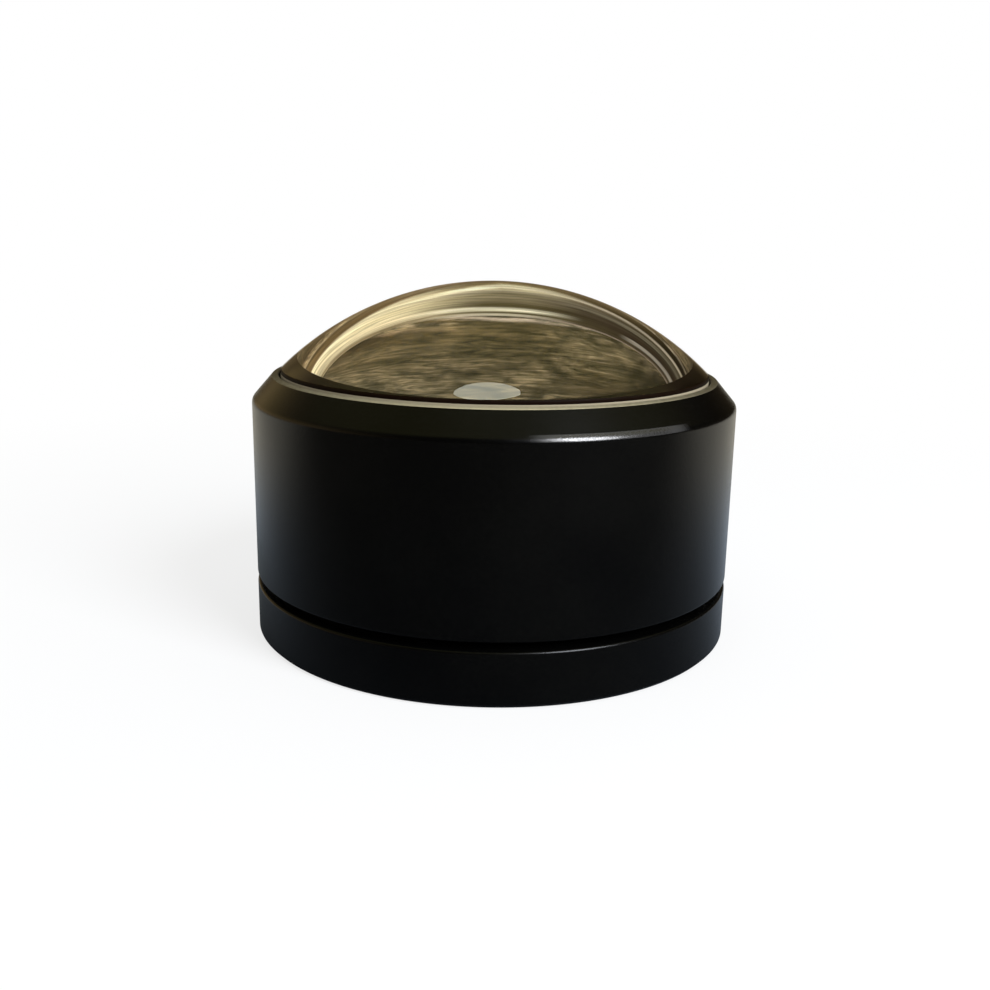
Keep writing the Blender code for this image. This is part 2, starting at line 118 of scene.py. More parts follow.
def newMaterial(name, inputs):
    # Gives the material, its shader, and the function that adds nodes to it
    material = bpy.data.materials.new(name)
    material.use_nodes = True
    shader = material.node_tree.nodes["Principled BSDF"]
    feed(shader, inputs)
    return material, shader, partial(addNode, material.node_tree)


def objectCoords(add):
    # The point, its distance from the axis, its height, and the unit vector of its way round
    point = add("TexCoord", output="Object")
    x, y, height = add("SeparateXYZ", [point]).node.outputs
    flat = add("CombineXYZ", [x, y])
    radius = add("VectorMath", [flat], "LENGTH", "Value")
    turn = add("VectorMath", [flat], "NORMALIZE")
    return {"point": point, "radius": radius, "height": height, "turn": turn}


def grain(add, point, size, detail=3.0, stretch=(1, 1, 1)):
    # Noise whose features are about size mm across, drawn out where stretch is above 1
    scale = [1 / (size * mm * s) for s in stretch]
    mapped = add("Mapping", {"Vector": point, "Scale": scale})
    return add("TexNoise", {"Vector": mapped, "Scale": 1.0, "Detail": detail})


def turningLines(add, at, pitch):
    # Lathe tool lines: they change across the radius or height, never round the axis
    across = add("Math", [at["radius"], at["height"]], "ADD")
    lines = add("Math", [across, 1 / (pitch * mm)], "MULTIPLY")
    spread = add("CombineXYZ", {"Z": lines})
    return add("TexNoise", {"Vector": spread, "Scale": 1.0, "Detail": 4.0})


def mean(add, first, second):
    return add("Math", [add("Math", [first, second], "ADD"), 0.5], "MULTIPLY")


def mask(add, *fades):
    # A fade is a value with its start and end: the mask rises smoothly from 0 at the start to 1
    # at the end, which may be the lower one, and several fades are multiplied together
    result, *others = [add("MapRange", fade, interpolation_type="SMOOTHSTEP") for fade in fades]
    for other in others:
        result = add("Math", [result, other], "MULTIPLY")
    return result


def paintOver(add, colour, *coats):
    # Each coat is a mask and the colour that shows where the mask is 1
    for cover, coat in coats:
        sockets = {0: cover, 6: colour, 7: coat}
        colour = add("Mix", sockets, output=2, data_type="RGBA")
    return colour


def bumps(add, *layers):
    # Each layer is a height socket with its depth in mm; gives the normal they make together
    normal = None
    for height, depth in layers:
        inputs = {"Height": height, "Distance": depth * mm}
        if normal:
            inputs["Normal"] = normal
        normal = add("Bump", inputs)
    return normal


# Materials

anodised = {
    "dye": [(0.42, "#020202"), (0.64, "#060605")],
    "clouds": 14.0,  # mm across the slow drift in the dye
    "roughness": (0.17, 0.28),
    "specular": 0.25,
    "speckle": 0.32,  # mm; the real blasted grain is near 0.1 and would not show
    "speckleDepth": 0.013,
    "linePitch": 0.6,  # mm; drawn coarser than the 0.1 mm feed of the last cut
    "lineDepth": 0.0012,
    # A rubbed band on the shoulder's round, bare metal on the peaks of its grain: partly wear,
    # partly a painted highlight, set where the window lamp's streak falls
    "rub": {
        "height": 34.15,
        "within": (0.45, 0.3),  # mm above or below it: gone at the first and whole at the second
        "towards": (0.454, -0.891),
        "fades": (0.94, 0.985),  # cosines of the way off that direction
        "hollows": 0.75,  # share of it that is left between the peaks
        "metal": 0.85,
        "colour": "#605f5d",
    },
}


def satinAnodisedAluminium(name, values):
    # Turned, fine-blasted and black anodised: a deep black with a satin sheen and faint rings
    material, shader, add = newMaterial(name, {"Specular IOR Level": values["specular"]})
    at = objectCoords(add)
    speckle = grain(add, at["point"], values["speckle"])
    lines = turningLines(add, at, values["linePitch"])
    clouds = mean(add, grain(add, at["point"], values["clouds"], 2.0), speckle)
    dye = add("ValToRGB", [clouds], stops=values["dye"])
    # The paler metal band is partly a painted highlight, placed on the side that faces the window
    # lamp
    rub = values["rub"]
    apart = add("Math", [at["height"], rub["height"] * mm], "SUBTRACT")
    apart = add("Math", [apart], "ABSOLUTE")
    facing = add("VectorMath", [at["turn"], (*rub["towards"], 0)], "DOT_PRODUCT", "Value")
    near = [edge * mm for edge in rub["within"]]
    rubbedHighlight = mask(add, (apart, *near), (facing, *rub["fades"]))
    peaks = add("MapRange", [speckle, *noiseSpan, rub["hollows"], 1.0])
    rubbedHighlight = add("Math", [rubbedHighlight, peaks], "MULTIPLY")
    rough = add("MapRange", [mean(add, speckle, lines), 0, 1, *values["roughness"]])
    feed(shader, {
        "Base Color": paintOver(add, dye, (rubbedHighlight, linear(rub["colour"]))),
        "Metallic": add("Math", [rubbedHighlight, rub["metal"]], "MULTIPLY"),
        "Roughness": rough,
        "Normal": bumps(add, (speckle, values["speckleDepth"]), (lines, values["lineDepth"])),
    })
    return material


plainFinishes = {
    # The grain, its depth and the pitch of turned lines are in mm
    # Dull black anodising inside, left rough so that it drinks stray light
    "matt_black": {
        "name": "anodisedAluminium_matt", "tones": ("#040404", "#0a0a0a"),
        "roughness": (0.62, 0.78), "grain": 0.25, "depth": 0.003, "lines": 0.5,
        "specular": 0.3,
    },
    # Turned brass: yellow metal with fine bright rings
    "brass": {
        "name": "brass_turned", "tones": ("#b88f45", "#dcb868"), "roughness": (0.2, 0.34),
        "grain": 0.5, "depth": 0.0015, "lines": 0.3, "metallic": 1.0,
    },
    # Sintered bronze: reddish, porous and slightly oily
    "bronze": {
        "name": "bronze_sintered", "tones": ("#6e4a26", "#a9794a"), "roughness": (0.32, 0.5),
        "grain": 0.12, "depth": 0.006, "metallic": 1.0,
    },
    # Ground hardened steel: bright, with very fine rings
    "steel": {
        "name": "steel_ground", "tones": ("#a7a9ad", "#cfd1d4"), "roughness": (0.16, 0.26),
        "grain": 0.2, "depth": 0.0008, "lines": 0.2, "metallic": 1.0,
    },
    # Blackened steel screws: near black with a faint warm gloss
    "black_oxide": {
        "name": "steel_blackOxide", "tones": ("#131211", "#272523"), "roughness": (0.3, 0.46),
        "grain": 0.2, "depth": 0.0015, "metallic": 1.0,
    },
    # Graphite-filled PTFE: dark grey, waxy and smooth
    "ptfe": {
        "name": "ptfe_graphiteFilled", "tones": ("#070707", "#101011"),
        "roughness": (0.42, 0.55), "grain": 0.3, "depth": 0.001,
    },
    # Moulded nitrile rubber: black with a dull bloom
    "nitrile": {
        "name": "nitrile_moulded", "tones": ("#0b0b0b", "#171716"), "roughness": (0.6, 0.8),
        "grain": 0.3, "depth": 0.002,
    },
    # Evaporated copper on polished glass: a clear warm mirror
    "copper_mirror": {
        "name": "copper_evaporated", "tones": ("#c97a4c", "#d88a5c"),
        "roughness": (0.03, 0.07), "grain": 2.0, "depth": 0.00005, "metallic": 1.0,
    },
}


def plainFinish(values):
    # Two close colours mottled at a real grain size, with matching roughness and a shallow bump
    material, shader, add = newMaterial(values["name"], {
        "Metallic": values.get("metallic", 0.0), "Specular IOR Level": values.get("specular", 0.5),
    })
    at = objectCoords(add)
    fine = grain(add, at["point"], values["grain"])
    broad = grain(add, at["point"], values["grain"] * 14, 2.0)
    blend = mean(add, fine, broad)
    layers = [(fine, values["depth"])]
    if "lines" in values:
        lines = turningLines(add, at, values["lines"])
        blend = mean(add, blend, lines)
        layers.append((lines, values["depth"]))
    low, high = values["tones"]
    feed(shader, {
        "Base Color": add("ValToRGB", [blend], stops=[(0.38, low), (0.62, high)]),
        "Roughness": add("MapRange", [blend, 0, 1, *values["roughness"]]),
        "Normal": bumps(add, *layers),
    })
    return material


rearGlass = {"ior": 2.0, "clear": "#fbf6e6"}
lensLooks = {
    "ior": 1.52,
    "clear": "#fcfaf7",
    "drift": (1.45, -0.4),  # mm; how far the painted reflections' rings lie off the axis on each side
    "driftFrom": (0.9, 1.3),  # mm along the wall where they begin to
    "still": 0.95,  # mm along the wall that never drift
    # Shares of the way round between which the middle's rings give way to those of each side:
    # painted light on the left and painted shade on the right
    "toLeft": (-0.06, -0.56),
    "toRight": (0.08, 0.42),
    # Painted light and shade on the cone towards each side, shade on the right and light on the
    # left: share, way round and mm along the wall
    "far": [
        {"share": 0.3, "side": (0.37, 0.56), "along": (5.6, 7.8)},
        {"share": 1.6, "side": (-0.34, -0.6), "along": (5.4, 7.8)},
    ],
    # Streaks in the painted reflections: mm across each, how many round the lens, darkest and
    # palest share
    "patches": {"across": 3.2, "round": 2.8, "curl": 3.0, "share": (0.6, 1.45)},
    "wisps": {"across": 0.75, "round": 4.0, "curl": 2.6, "share": (0.36, 1.8)},
    "lines": {"across": 0.14, "round": 2.0, "curl": 0.6, "share": (0.7, 1.3)},
    "streakDetail": 8.0,
    "streakRoughness": 0.62,
    "coneFrom": (2.5, 3.3),  # mm along the wall where the marbling sets in
    "foot": (18.65, 20.7),  # radii of the bevel round the base
    "slopes": (1.083, 2.263),  # mm along the wall per mm of radius, on the bevel and on the cone
    # Painted reflections by distance along the wall in mm, from the base's edge; the left's are lit
    # and the right's shaded
    "reach": 15.0,
    "left": {
        0.0: "#8e8062", 0.14: "#70603f", 0.3: "#b0a07c", 0.5: "#c8b892", 0.8: "#dccca0",
        1.0: "#e2d3a6", 2.1: "#d6c698", 2.5: "#f2e4b6", 2.8: "#f0e2b6", 2.9: "#a08a66",
        3.02: "#5a4628", 3.4: "#6c5836", 3.8: "#604c2c", 4.0: "#b8a480", 4.25: "#9c8860",
        4.7: "#927c5a", 5.1: "#463720", 6.2: "#4c3e26", 6.9: "#5c4f35", 7.5: "#5c4f35",
        8.2: "#52462e", 10.5: "#685c42", 13.5: "#7c7052",
    },
    "middle": {
        0.0: "#a0977f", 0.18: "#a89f88", 0.25: "#4c442c", 0.38: "#4c442c", 0.46: "#ccc4a2",
        0.56: "#e6dfc2", 0.7: "#ccc5a6", 0.8: "#564c34", 0.95: "#40361f", 1.3: "#62583f",
        1.7: "#82785c", 1.85: "#766c4e", 2.1: "#a0967a", 2.22: "#b8ac8a", 2.3: "#fbf0c8",
        2.46: "#fff6cc", 2.54: "#c0b084", 2.62: "#7a6a44", 2.8: "#3a301c", 2.97: "#32281a",
        3.08: "#7e705e", 3.22: "#a39581", 3.44: "#8c7f68", 3.66: "#4c4028", 5.6: "#4c412a",
        7.0: "#564b33", 9.0: "#685c42", 13.5: "#786c50",
    },
    "right": {
        0.0: "#9a8a76", 0.12: "#42382a", 0.3: "#362c1c", 1.1: "#30261a", 1.4: "#42392a",
        1.6: "#383022", 1.72: "#6c6450", 1.95: "#6a6250", 2.1: "#443a28", 2.22: "#6c624c",
        2.3: "#b4aa94", 2.44: "#b0a68e", 2.52: "#4c402c", 2.62: "#281e10", 3.2: "#2e2416",
        3.4: "#9a8e76", 3.6: "#8a7e66", 3.8: "#3c3020", 4.1: "#6a5e45", 6.6: "#77694c",
        7.3: "#72654a", 9.2: "#6a5d42", 11.0: "#4a3e2a", 13.5: "#2e2418",
    },
    # A painted glint on the right, close to the base's edge
    "glint": {"along": (0.3, 0.42, 0.62, 0.75), "side": (0.58, 0.7), "colour": "#9c9484"},
    "seat": (25.7, "#1d150c"),  # beyond this radius the annulus on the gasket is almost black
    "rim": (30.85, "#a89d84"),  # beyond this radius the edge is ground and bare of lacquer
    "bevel": (37.52, "#140a04"),  # above this height the edge's bevel is blackened
}


def polishedOpticalGlass(name, values):
    # Polished optical glass: clear face on, and a full mirror at its base when seen from low down
    clear = linear(values["clear"])
    even = {"IOR": values["ior"], "Transmission Weight": 1.0, "Base Color": clear}
    material, shader, add = newMaterial(name, even)
    # Faint polishing sleeks, only in the gloss
    sleeks = grain(add, add("TexCoord", output="Object"), 3.0, 4.0, (1, 6, 1))
    feed(shader, {"Roughness": add("MapRange", [sleeks, 0, 1, 0.0, 0.012])})
    return material


def streaks(add, turn, along, values, layer):
    # Noise drawn out round the axis: across is its size in mm along the wall
    pattern = values[layer]
    swept = add("VectorMath", {0: turn, "Scale": pattern["round"]}, "SCALE")
    level = add("Math", [along, pattern["across"]], "DIVIDE")
    spot = add("VectorMath", [swept, add("CombineXYZ", {"Z": level})], "ADD")
    noise = add("TexNoise", {
        "Vector": spot, "Scale": 1.0, "Detail": values["streakDetail"],
        "Roughness": values["streakRoughness"], "Distortion": pattern["curl"],
    })
    return add("MapRange", [noise, *noiseSpan, *pattern["share"]])


def glassCoatWithPaintedReflections(name, values):
    # Ground glass under amber lacquer whose streaky rings of cream, gold and brown round the lens
    # are painted reflections, with painted light on the left, painted shade on the right and a
    # painted glint. Under the glass it has hardly any gloss
    material, shader, add = newMaterial(name, {"Roughness": 0.5, "Specular IOR Level": 0.04})
    at = objectCoords(add)
    radius, turn = at["radius"], at["turn"]
    side = add("SeparateXYZ", [turn])
    # Distance along the wall: the bevel first, then the steeper cone
    foot, knee = (edge * mm for edge in values["foot"])
    bevelSlope, coneSlope = values["slopes"]
    along = add("Math", [radius, foot], "SUBTRACT")
    along = add("Math", [along, bevelSlope / mm], "MULTIPLY")
    past = add("Math", [radius, knee], "SUBTRACT")
    past = add("Math", [past, 0.0], "MAXIMUM")
    past = add("Math", [past, (coneSlope - bevelSlope) / mm], "MULTIPLY")
    along = add("Math", [along, past], "ADD")
    # Past the first lines the painted reflections' rings run off the axis, more to the left than to
    # the right
    sides = []
    for half, distance in zip(("MINIMUM", "MAXIMUM"), values["drift"]):
        part = add("Math", [side, 0.0], half)
        sides.append(add("Math", [part, distance], "MULTIPLY"))
    drift = add("Math", sides, "ADD")
    begun = mask(add, (along, *values["driftFrom"]))
    drift = add("Math", [drift, begun], "MULTIPLY")
    drifted = add("Math", [along, drift], "SUBTRACT")
    still = add("Math", [along, values["still"]], "MINIMUM")
    drifted = add("Math", [drifted, still], "MAXIMUM")
    reached = add("Math", [drifted, values["reach"]], "DIVIDE")
    # The three ramps are painted reflections: lit on the left, shaded on the right
    left, middle, right = (
        add("ValToRGB", [reached], stops=[(d / values["reach"], c) for d, c in part.items()])
        for part in (values["left"], values["middle"], values["right"])
    )
    # A painted glint on the right
    glint = values["glint"]
    begins, whole, fading, ends = glint["along"]
    glinting = mask(add, (along, begins, whole), (along, ends, fading), (side, *glint["side"]))
    rings = paintOver(
        add, middle, (mask(add, (side, *values["toLeft"])), left),
        (mask(add, (side, *values["toRight"])), right), (glinting, linear(glint["colour"])),
    )
    # Marbled wisps of painted reflection on the cone, over fine lines all the way round
    patches, wisps, lines = (
        streaks(add, turn, along, values, layer) for layer in ("patches", "wisps", "lines")
    )
    wisps = add("Math", [patches, wisps], "MULTIPLY")
    onCone = mask(add, (along, *values["coneFrom"]))
    wisps = add("Mix", {0: onCone, 2: 1.0, 3: wisps})
    shade = add("Math", [wisps, lines], "MULTIPLY")
    # Painted light on the left side of the cone and painted shade on the right
    for part in values["far"]:
        far = mask(add, (side, *part["side"]), (along, *part["along"]))
        share = add("MapRange", [far, 0, 1, 1, part["share"]])
        shade = add("Math", [shade, share], "MULTIPLY")
    wall = add("VectorMath", {0: rings, "Scale": shade}, "SCALE")
    wall = add("VectorMath", [wall, (1.0, 1.0, 1.0)], "MINIMUM")
    # Outside the cone: the seat, then the bare ground edge with a blackened bevel over it
    for where, part in ((radius, "seat"), (radius, "rim"), (at["height"], "bevel")):
        limit, outside = values[part]
        beyond = add("Math", [where, limit * mm], "GREATER_THAN")
        wall = paintOver(add, wall, (beyond, linear(outside)))
    feed(shader, {"Base Color": wall})
    return material


# The crest's pale middle and darker sides are a painted highlight
crestLooks = {
    "middle": "#b4ab8c",
    "side": "#4a4434",
    "darkening": 1.6,  # the higher, the nearer to the sides the middle's colour reaches
    "mottle": 0.12,
    "grain": 0.5,
    "roughness": (0.34, 0.5),
    "metal": 0.35,
}


def polishedCrest(name, values):
    # The lip's crest: partly anodising worn to bare satin metal, partly a painted highlight, pale
    # beige in the middle and darker towards the sides
    material, shader, add = newMaterial(name, {"Metallic": values["metal"]})
    at = objectCoords(add)
    # Painted shade: the crest darkens towards the sides
    side = add("Math", [add("SeparateXYZ", [at["turn"]])], "ABSOLUTE")
    paintedSideShade = add("Math", [side, values["darkening"]], "POWER")
    fine = grain(add, at["point"], values["grain"], 4.0)
    mottle = add("MapRange", [fine, 0.3, 0.7, -values["mottle"], values["mottle"]])
    paintedSideShade = add("Math", [paintedSideShade, mottle], "ADD", use_clamp=True)
    feed(shader, {
        "Base Color": paintOver(add, linear(values["middle"]), (paintedSideShade, linear(values["side"]))),
        "Roughness": add("MapRange", [fine, 0, 1, *values["roughness"]]),
    })
    return material


finishes = {"black_anodised": satinAnodisedAluminium("anodisedAluminium_satin", anodised)}
for slot, values in plainFinishes.items():
    finishes[slot] = plainFinish(values)
finishes["front_glass"] = polishedOpticalGlass("crownGlass_polished", lensLooks)
finishes["rear_glass"] = polishedOpticalGlass("denseGlass_polished", rearGlass)
print("materials ready:", len(finishes))


def roundCorners(outline, closed, edge):
    # A corner's third number is its rounding; the rest take the piece's broken edge.
    # A holding point past each end of the arc keeps the flats flat under smooth shading
    share = 0.42  # of a flat, the most that one arc takes
    hold = 1.16  # how far from the corner the flat is held, in lengths of the arc's reach
    nearlyFlat = math.pi / 2 - 0.12
    points = []
    count = len(outline)
    for i, corner in enumerate(outline):
        at = Vector(corner[:2])
        radius = corner[2] if len(corner) > 2 else edge
        if radius <= 0 or (not closed and i in (0, count - 1)):
            points.append(at)
            continue
        towards = Vector(outline[i - 1][:2]) - at
        onwards = Vector(outline[(i + 1) % count][:2]) - at
        room = min(towards.length, onwards.length) * share
        towards.normalize()
        onwards.normalize()
        half = towards.angle(onwards) / 2
        if half > nearlyFlat:
            points.append(at)
            continue
        reach = min(radius / math.tan(half), room)
        radius = reach * math.tan(half)
        middle = at + (towards + onwards).normalized() * (radius / math.sin(half))
        start = at + towards * reach - middle
        turn = start.angle_signed(at + onwards * reach - middle)
        steps = 8 if radius > 0.5 else 5 if radius > 0.2 else 3
        points.append(at + towards * reach * hold)
        points += [middle + Matrix.Rotation(-turn * k / steps, 2) @ start for k in range(steps + 1)]
        points.append(at + onwards * reach * hold)
    return points


def splitWall(points, closed, threads):
    # Adds the points that a thread needs along its wall
    result = []
    count = len(points)
    for i, here in enumerate(points):
        result.append(here)
        there = points[(i + 1) % count]
        if not closed and i == count - 1:
            break
        for wall, *_, pitch in threads:
            if abs(here.x - wall) < 1e-4 and abs(there.x - wall) < 1e-4:
                steps = max(1, round(abs(there.y - here.y) / pitch * 10))
                result += [here.lerp(there, k / steps) for k in range(1, steps)]
    return result


def turned(name, outline, segments=192, closed=True, edge=0.1, threads=()):
    # Spins an outline of (radius, height) in mm round the axis; it runs down the outer side first.
    # A thread is its wall's radius, its lowest and highest level, its depth and its pitch
    points = splitWall(roundCorners(outline, closed, edge), closed, threads)
    edges = [(i, i + 1) for i in range(len(points) - 1)]
    if closed:
        edges.append((len(points) - 1, 0))
    profile = bpy.data.meshes.new(name)
    profile.from_pydata([(p.x * mm, 0.0, p.y * mm) for p in points], edges, [])
    obj = newObject(name, profile)
    spin = obj.modifiers.new("spin", "SCREW")
    spin.steps = spin.render_steps = segments
    spin.use_merge_vertices = True
    spin.merge_threshold = 1e-6
    settle(obj)
    if threads:
        cutThreads(obj.data, threads)
    return obj


def settle(obj):
    # Makes the modified shape the piece's own mesh
    graph = bpy.context.evaluated_depsgraph_get()
    mesh = bpy.data.meshes.new_from_object(obj.evaluated_get(graph))
    obj.modifiers.clear()
    obj.data = mesh
    mesh.name = obj.name


def cutThreads(mesh, threads):
    # Moves a wall's points in or out along a 60 degree thread form that climbs with the angle
    points = np.empty(len(mesh.vertices) * 3, np.float32)
    mesh.vertices.foreach_get("co", points)
    points = points.reshape(-1, 3)
    radius = np.hypot(points[:, 0], points[:, 1]) / mm
    height = points[:, 2] / mm
    turn = np.arctan2(points[:, 1], points[:, 0]) / math.tau
    crest, flank = 0.14, 0.62  # shares of half a pitch
    for wall, low, high, depth, pitch in threads:
        onWall = (abs(radius - wall) < 1e-3) & (height > low) & (height < high)
        phase = np.abs((height / pitch - turn) % 1.0 - 0.5) * 2
        form = np.clip((phase - crest) / flank, 0.0, 1.0)
        # It fades in over half a pitch at each end
        fade = np.minimum(1.0, np.minimum(height - low, high - height) / pitch * 2)
        factor = np.where(onWall, 1 + depth * form * fade / np.maximum(radius, 0.1), 1.0)
        points[:, :2] *= factor[:, None]
    mesh.vertices.foreach_set("co", points.ravel())


def boxTool(size, middle):
    work = bmesh.new()
    bmesh.ops.create_cube(work, size=1.0, matrix=Matrix.Diagonal((*[s * mm for s in size], 1.0)))
    bmesh.ops.translate(work, verts=work.verts, vec=[m * mm for m in middle])
    return objectFrom(work)


def barTool(low, high, depth, foot, sides):
    # A bar or cone that rises by depth from its foot, with the radius low there and high above
    work = bmesh.new()
    bmesh.ops.create_cone(
        work, cap_ends=True, segments=sides, radius1=low * mm, radius2=high * mm, depth=depth * mm
    )
    x, y, z = foot
    bmesh.ops.translate(work, verts=work.verts, vec=(x * mm, y * mm, (z + depth / 2) * mm))
    return objectFrom(work)


def objectFrom(work, name="tool"):
    mesh = bpy.data.meshes.new(name)
    work.to_mesh(mesh)
    work.free()
    return newObject(name, mesh)


def cutAway(obj, tools):
    # Cuts the tools out of the piece for good, then clears them away
    for tool in tools:
        cut = obj.modifiers.new("cut", "BOOLEAN")
        cut.operation = "DIFFERENCE"
        cut.solver = "EXACT"
        cut.object = tool
    settle(obj)
    for tool in tools:
        bpy.data.objects.remove(tool)


def place(obj, body, node, slot, at=(0, 0), crease=32):
    # Moves the piece to where it stands, shades and finishes it, and says what it stands for
    if any(at):
        obj.data.transform(Matrix.Translation((at[0] * mm, at[1] * mm, 0)))
    obj.data.shade_smooth()
    obj.data.set_sharp_from_angle(angle=math.radians(crease))
    if not obj.data.materials:
        obj.data.materials.append(finishes[slot])
    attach(obj, body)
    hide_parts(node)


def pieceName(node):
    first, *rest = node.split("_")
    return first + "".join(word.capitalize() for word in rest)


def heights(node):
    low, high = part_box(node)
    return low.z / mm, high.z / mm


def outerRadius(node):
    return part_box(node)[1].x / mm


def middleOf(node):
    low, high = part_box(node)
    return (low.x + high.x) / 2 / mm, (low.y + high.y) / 2 / mm


def around(count, circle, start=0.0):
    turns = [start + math.tau * i / count for i in range(count)]
    return [(circle * math.cos(turn), circle * math.sin(turn)) for turn in turns]


def ringOutline(outer, bore, low, high):
    return [(outer, high), (outer, low), (bore, low), (bore, high)]


def stepped(height, *corners):
    # Steps from a height to a radius, a height, a radius and so on; a corner may give its rounding
    outline = []
    for i, corner in enumerate(corners):
        value, *rounding = corner if isinstance(corner, tuple) else [corner]
        if i % 2:
            height = value
        else:
            radius = value
        outline.append((radius, height, *rounding))
    return outline


finePitch = 0.75  # mm, of the threads that the lens rings turn in
ringThreadDepth, wallThreadDepth = 0.25, 0.35
screwPlaces = around(4, 26.5, math.tau / 8)  # the plate's four screws

# Barrel and base ring

barrelShape = {
    "radius": 35.0, "bore": 31.5, "flangeBore": 28.8, "flangeThickness": 2.2,
    "ledgeBore": 26.0,
    "ledge": (33.4, 34.9),  # heights
    "counterbore": 31.2, "shoulderRun": 2.9, "shoulderDrop": 3.5, "shoulderRound": 1.2,
    "lipRound": 0.35, "lipFall": 0.15,
    "crestDepth": 0.12,  # how far down the crest, worn and with its painted highlight, reaches
    "edgeRound": 0.4,
}


def makeBarrel(shape):
    low, high = heights("barrel")
    ledgeLow, ledgeHigh = shape["ledge"]
    lip = shape["lipRound"]
    outline = [(shape["radius"] - shape["shoulderRun"], high - shape["lipFall"], lip)]
    outline += stepped(
        high - shape["shoulderDrop"], (shape["radius"], shape["shoulderRound"]),
        (low, shape["edgeRound"]), (shape["flangeBore"], 0.2),
        (low + shape["flangeThickness"], 0.2), (shape["bore"], 0.15), (ledgeLow, 0.15),
        (shape["ledgeBore"], 0.15), (ledgeHigh, 0.15), (shape["counterbore"], 0.1),
        (high - lip / 2, 0.0),
    )
    outline.append((shape["counterbore"] + lip / 2, high, 0.1))
    # The cell's ring turns in the bore, and the thread runs out a little below it
    ringLow, ringHigh = heights("cell_retainer")
    thread = (shape["bore"], ringLow - 1.2, ringHigh + 0.2, wallThreadDepth, finePitch)
    barrel = turned("barrelShell", outline, 256, threads=[thread])
    place(barrel, "barrel", "barrel", "black_anodised")
    barrel.data.materials.append(polishedCrest("anodisedAluminium_crest", crestLooks))
    crestFoot = (high - shape["lipFall"] - shape["crestDepth"]) * mm
    for face in barrel.data.polygons:
        if face.center.z > crestFoot:
            face.material_index = 1


ringShape = {
    "neckRadius": 28.5, "neckBore": 24.5, "neckThread": 27.0, "radius": 35.0,
    "platePocket": 30.3, "pocketTop": 4.8,
    "sealSeat": 0.6,  # mm left round the seal on each side of its section
    "screwHole": (1.6, 4.4), "height": 7.5, "datumChamfer": 0.5, "edgeRound": 0.4,
    "gap": 0.3,  # mm left above and below the seal, and under the neck's thread
}


def makeBaseRing(shape):
    high = heights("base_ring")[1]
    sealLow, sealHigh = heights("dust_seal")
    retainerLow = heights("barrel_retainer")[0]
    pocketTop, gap = shape["pocketTop"], shape["gap"]
    sealFloor = shape["neckRadius"] - (sealHigh - sealLow) - shape["sealSeat"]
    outline = stepped(
        high, shape["neckThread"], retainerLow - gap, shape["neckRadius"], sealHigh + gap,
        sealFloor, sealLow - gap, shape["neckRadius"], shape["height"],
        (shape["radius"], shape["edgeRound"]), shape["datumChamfer"],
    )
    outline.append((shape["radius"] - shape["datumChamfer"], 0.0))
    outline += stepped(0.0, shape["platePocket"], pocketTop, shape["neckBore"], high)
    thread = (shape["neckThread"], retainerLow - 0.2, high - 0.2, -wallThreadDepth, finePitch)
    ring = turned("baseRing", outline, 256, threads=[thread])
    bore, depth = shape["screwHole"]
    holes = [barTool(bore, bore, depth, (x, y, pocketTop - 1.0), 32) for x, y in screwPlaces]
    cutAway(ring, holes)
    place(ring, "base", "base_ring", "black_anodised")


makeBarrel(barrelShape)
makeBaseRing(ringShape)
print("barrel and base ring built")

# Front lens

lensShape = {
    "radius": 30.9,
    "seat": 36.0,  # height of the annulus that rests on the gasket
    "edgeTop": 37.9, "bevel": 0.12, "domeCurve": 44.4, "bodyRadius": 25.7,
    "baseRadius": 18.65, "footBevel": (2.05, 0.85), "domeSteps": 110, "segments": 320,
}


def arcPoints(curve, rim, steps):
    # Even steps along a round face from the axis to the rim, each a radius and its drop
    turns = [math.asin(rim / curve) * i / steps for i in range(steps + 1)]
    return [(curve * math.sin(turn), curve * (1 - math.cos(turn))) for turn in turns]


def makeFrontLens(shape):
    low, high = heights("front_lens")
    rim = shape["radius"] - shape["bevel"]
    dome = arcPoints(shape["domeCurve"], rim, shape["domeSteps"])
    outline = [(out, high - drop, 0) for out, drop in dome] + [
        (shape["radius"], shape["edgeTop"], 0.06),
        (shape["radius"], shape["seat"], 0.12),
        (shape["bodyRadius"], shape["seat"], 0.12),
        (shape["baseRadius"] + shape["footBevel"][0], low + shape["footBevel"][1], 0.1),
        (shape["baseRadius"], low, 0),
        (0.0, low, 0),
    ]
    lens = turned("frontLens", outline, shape["segments"], closed=False, edge=0)
    lens.data.materials.append(finishes["front_glass"])
    lens.data.materials.append(glassCoatWithPaintedReflections("groundGlass_paintedReflections", lensLooks))
    for face in lens.data.polygons:
        centre = face.center
        radius = math.hypot(centre.x, centre.y) / mm
        onBase = centre.z / mm < low + 0.02
        onDome = centre.z / mm > shape["edgeTop"] and radius < rim
        if not (onDome or onBase):
            face.material_index = 1
    place(lens, "barrel", "front_lens", "front_glass", crease=12)


makeFrontLens(lensShape)
print("front lens built")

# Rings, seals and the tube inside the barrel

ringPieces = {
    # node: (body, slot, bore radius, broken edge)
    "lower_glide_ring": ("base", "ptfe", 28.8, 0.12),
    "upper_glide_ring": ("base", "ptfe", 28.8, 0.12),
    "lens_gasket": ("barrel", "nitrile", 26.3, 0.18),
    "mirror_cushion": ("mirror_carriage", "nitrile", 9.7, 0.18),
}


def makeRings(pieces):
    for node, (body, slot, bore, edge) in pieces.items():
        low, high = heights(node)
        outer = outerRadius(node)
        ring = turned(pieceName(node), ringOutline(outer, bore, low, high), edge=edge)
        place(ring, body, node, slot)


sealShape = {"sides": 20}


